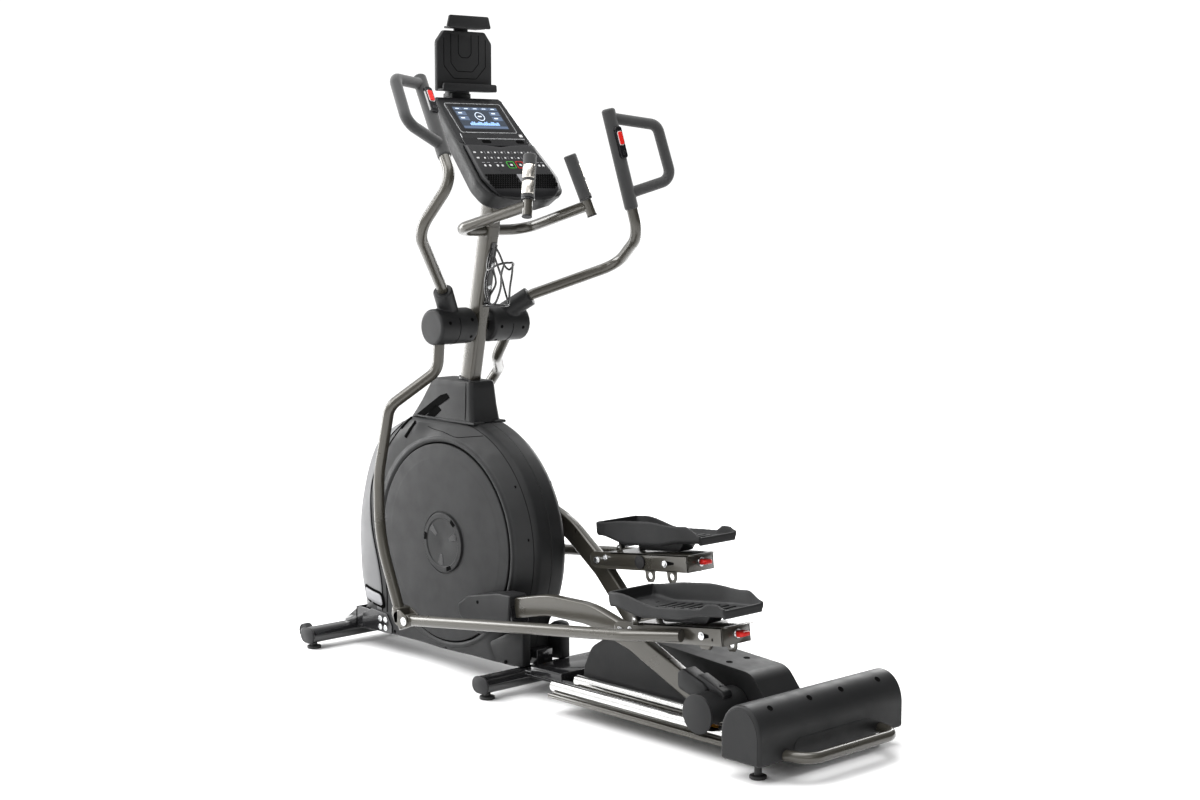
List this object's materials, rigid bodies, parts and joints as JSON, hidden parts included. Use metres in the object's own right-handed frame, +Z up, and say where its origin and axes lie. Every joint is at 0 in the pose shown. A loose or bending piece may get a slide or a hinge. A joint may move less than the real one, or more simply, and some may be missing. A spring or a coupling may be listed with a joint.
{
  "type": "elliptical trainer",
  "caption": "Front-drive elliptical trainer: swing arms with looped grips, roller-borne foot pedals on twin rails, crank discs in a shrouded drive, console with tablet holder.",
  "frame": {"origin": "on the floor, under the middle of the machine's length and width", "axes": "+X to the user's right, +Y from the user towards the console end, +Z up"},
  "size_m": [0.782, 2.08, 1.922],
  "materials": {
    "frame_paint": "dark bronze grey gloss powder coat",
    "black_paint": "near-black gloss powder coat",
    "rail_steel": "polished steel",
    "dark_steel": "turned steel",
    "cast_disc": "machined",
    "shell_dark": "charcoal satin, fine moulded grain",
    "disc_plastic": "charcoal satin",
    "pedal_rubber": "ribbed black",
    "foot_rubber": "black",
    "roller_urethane": "amber urethane",
    "foam": "soft closed-cell foam",
    "red_plastic": "red",
    "caps_plastic": "black",
    "screen": "dark gloss",
    "face_plastic": "black gloss with pale printed outlines",
    "board_green": "circuit board",
    "belt_rubber": "ribbed belt",
    "motor_metal": "dark enamel",
    "wire_black": "black coated wire",
    "pulley_alu": "cast"
  },
  "bodies": {
    "root": {"main_frame": "frame_paint", "front_stabiliser": "black_paint", "stabiliser_caps": "caps_plastic", "front_feet": "foot_rubber", "rail_frame": "black_paint", "rail_tubes": "rail_steel", "ramp_cover": "shell_dark", "rear_cover": "shell_dark", "shroud_left": "shell_dark", "shroud_right": "shell_dark", "mast_cowl": "shell_dark", "crank_bearings": "dark_steel", "drive_belt": "belt_rubber", "magnet_brake": "motor_metal", "control_board": "board_green", "incline_motor": "motor_metal", "mast": "frame_paint", "horn_bar": "frame_paint", "horn_grips": "foam", "bottle_cage": "wire_black", "console_face": "face_plastic", "display": "screen", "console_base": "shell_dark", "tablet_plate": "shell_dark"},
    "crank": {"crank_axle": "dark_steel", "crank_discs": "disc_plastic", "drive_pulley": "pulley_alu"},
    "flywheel": {"flywheel": "cast_disc"},
    "transport_wheels": {"transport_wheels": "caps_plastic"},
    "tablet_clamp": {"tablet_clamp": "shell_dark"},
    "left_swing_arm": {"swing_tube_left": "frame_paint", "handle_tube_left": "frame_paint", "pivot_cover_left": "shell_dark", "foam_grip_left": "foam"},
    "left_rocker": {"rocker_left": "red_plastic"},
    "left_connecting_arm": {"link_arm_left": "frame_paint"},
    "left_pedal": {"pedal_left": "pedal_rubber"},
    "left_knob": {"knob_left": "red_plastic"},
    "left_carriage": {"roller_axle_left": "dark_steel"},
    "left_roller_arm": {"roller_arm_left": "frame_paint", "arm_cap_left": "shell_dark", "roller_housing_left": "shell_dark"},
    "left_rollers": {"rollers_left": "roller_urethane"},
    "left_mid_foot": {"mid_foot_left": "foot_rubber"},
    "left_rear_foot": {"rear_foot_left": "foot_rubber"},
    "right_swing_arm": {"swing_tube_right": "frame_paint", "handle_tube_right": "frame_paint", "pivot_cover_right": "shell_dark", "foam_grip_right": "foam"},
    "right_rocker": {"rocker_right": "red_plastic"},
    "right_connecting_arm": {"link_arm_right": "frame_paint"},
    "right_pedal": {"pedal_right": "pedal_rubber"},
    "right_knob": {"knob_right": "red_plastic"},
    "right_carriage": {"roller_axle_right": "dark_steel"},
    "right_roller_arm": {"roller_arm_right": "frame_paint", "arm_cap_right": "shell_dark", "roller_housing_right": "shell_dark"},
    "right_rollers": {"rollers_right": "roller_urethane"},
    "right_mid_foot": {"mid_foot_right": "foot_rubber"},
    "right_rear_foot": {"rear_foot_right": "foot_rubber"}
  },
  "joints": [
    {"name": "crank", "type": "hinge", "parent": "root", "child": "crank", "pos_m": [0, 0.459, 0.385], "axis": [1, 0, 0], "range_deg": [-18, 18]},
    {"name": "flywheel_spin", "type": "hinge", "parent": "root", "child": "flywheel", "pos_m": [0, 0.735, 0.33], "axis": [1, 0, 0], "range_deg": [-96.48, 96.48]},
    {"name": "transport_wheels_roll", "type": "hinge", "parent": "root", "child": "transport_wheels", "pos_m": [0, 1.016, 0.043], "axis": [1, 0, 0], "continuous": true},
    {"name": "tablet_clamp_lift", "type": "slide", "parent": "root", "child": "tablet_clamp", "axis": [0, 0, 1], "range_m": [0, 0.06]},
    {"name": "left_swing", "type": "hinge", "parent": "root", "child": "left_swing_arm", "pos_m": [0, 0.42, 1.027], "axis": [1, 0, 0], "range_deg": [-3.92, 3.92]},
    {"name": "left_foot_pivot", "type": "hinge", "parent": "left_swing_arm", "child": "left_connecting_arm", "pos_m": [-0.25, 0.42777, 0.17904], "axis": [1, 0, 0], "range_deg": [-2.68, 2.68]},
    {"name": "left_carriage_slide", "type": "slide", "parent": "root", "child": "left_carriage", "axis": [0, 1, 0], "range_m": [-0.04591, 0.04591]},
    {"name": "left_arm_tilt", "type": "hinge", "parent": "left_carriage", "child": "left_roller_arm", "pos_m": [-0.136, -0.68934, 0.115], "axis": [1, 0, 0], "range_deg": [-3.5, 3.5]},
    {"name": "left_rollers_roll", "type": "hinge", "parent": "left_carriage", "child": "left_rollers", "pos_m": [-0.134, -0.68934, 0.115], "axis": [1, 0, 0], "range_deg": [-105.38, 105.38]},
    {"name": "left_pedal_tilt", "type": "hinge", "parent": "left_connecting_arm", "child": "left_pedal", "pos_m": [-0.165, -0.46447, 0.32266], "axis": [-1, 0, 0], "range_deg": [0, 8]},
    {"name": "left_knob_turn", "type": "hinge", "parent": "left_connecting_arm", "child": "left_knob", "pos_m": [-0.142, -0.76638, 0.32474], "axis": [0, -0.9928, 0.1195], "range_deg": [0, 90]},
    {"name": "left_rocker_press", "type": "hinge", "parent": "left_swing_arm", "child": "left_rocker", "pos_m": [-0.22267, 0.34484, 1.68172], "axis": [0.9852, -0.1055, -0.1352], "range_deg": [-3, 3], "stiffness_Nm_per_rad": 0.6},
    {"name": "left_mid_foot_screw", "type": "hinge", "parent": "root", "child": "left_mid_foot", "pos_m": [-0.218, 0.12, 0], "axis": [0, 0, 1], "continuous": true},
    {"name": "left_rear_foot_screw", "type": "hinge", "parent": "root", "child": "left_rear_foot", "pos_m": [-0.218, -0.906, 0], "axis": [0, 0, 1], "continuous": true},
    {"name": "right_swing", "type": "hinge", "parent": "root", "child": "right_swing_arm", "pos_m": [0, 0.42, 1.027], "axis": [1, 0, 0], "range_deg": [-3.3, 3.3]},
    {"name": "right_foot_pivot", "type": "hinge", "parent": "right_swing_arm", "child": "right_connecting_arm", "pos_m": [0.25, 0.83072, 0.2851], "axis": [1, 0, 0], "range_deg": [-0.73, 0.73]},
    {"name": "right_carriage_slide", "type": "slide", "parent": "root", "child": "right_carriage", "axis": [0, 1, 0], "range_m": [-0.02183, 0.02183]},
    {"name": "right_arm_tilt", "type": "hinge", "parent": "right_carriage", "child": "right_roller_arm", "pos_m": [0.136, -0.20961, 0.115], "axis": [1, 0, 0], "range_deg": [-3.84, 3.84]},
    {"name": "right_rollers_roll", "type": "hinge", "parent": "right_carriage", "child": "right_rollers", "pos_m": [0.134, -0.20961, 0.115], "axis": [1, 0, 0], "range_deg": [-49.54, 49.54]},
    {"name": "right_pedal_tilt", "type": "hinge", "parent": "right_connecting_arm", "child": "right_pedal", "pos_m": [0.165, -0.06361, 0.41501], "axis": [-1, 0, 0], "range_deg": [0, 8]},
    {"name": "right_knob_turn", "type": "hinge", "parent": "right_connecting_arm", "child": "right_knob", "pos_m": [0.142, -0.36552, 0.41245], "axis": [0, -0.9946, 0.1042], "range_deg": [0, 90]},
    {"name": "right_rocker_press", "type": "hinge", "parent": "right_swing_arm", "child": "right_rocker", "pos_m": [0.22267, 0.04206, 1.56688], "axis": [0.9852, 0.0284, 0.1692], "range_deg": [-3, 3], "stiffness_Nm_per_rad": 0.6},
    {"name": "right_mid_foot_screw", "type": "hinge", "parent": "root", "child": "right_mid_foot", "pos_m": [0.218, 0.12, 0], "axis": [0, 0, 1], "continuous": true},
    {"name": "right_rear_foot_screw", "type": "hinge", "parent": "root", "child": "right_rear_foot", "pos_m": [0.218, -0.906, 0], "axis": [0, 0, 1], "continuous": true}
  ],
  "couplings": [
    {"joint": "flywheel_spin", "follows": "crank", "ratio": 5.3571},
    {"joint": "left_swing", "follows": "crank", "ratio": 0.21486},
    {"joint": "left_foot_pivot", "follows": "crank", "ratio": -0.14595},
    {"joint": "left_carriage_slide", "follows": "crank", "m_per_rad": 0.14454},
    {"joint": "left_arm_tilt", "follows": "crank", "ratio": -0.19153},
    {"joint": "left_rollers_roll", "follows": "crank", "ratio": -5.8518},
    {"joint": "left_knob_turn", "follows": "left_pedal_tilt", "ratio": 11.25},
    {"joint": "right_swing", "follows": "crank", "ratio": -0.18069},
    {"joint": "right_foot_pivot", "follows": "crank", "ratio": 0.03751},
    {"joint": "right_carriage_slide", "follows": "crank", "m_per_rad": -0.06791},
    {"joint": "right_arm_tilt", "follows": "crank", "ratio": 0.21043},
    {"joint": "right_rollers_roll", "follows": "crank", "ratio": 2.7494},
    {"joint": "right_knob_turn", "follows": "right_pedal_tilt", "ratio": 11.25}
  ]
}
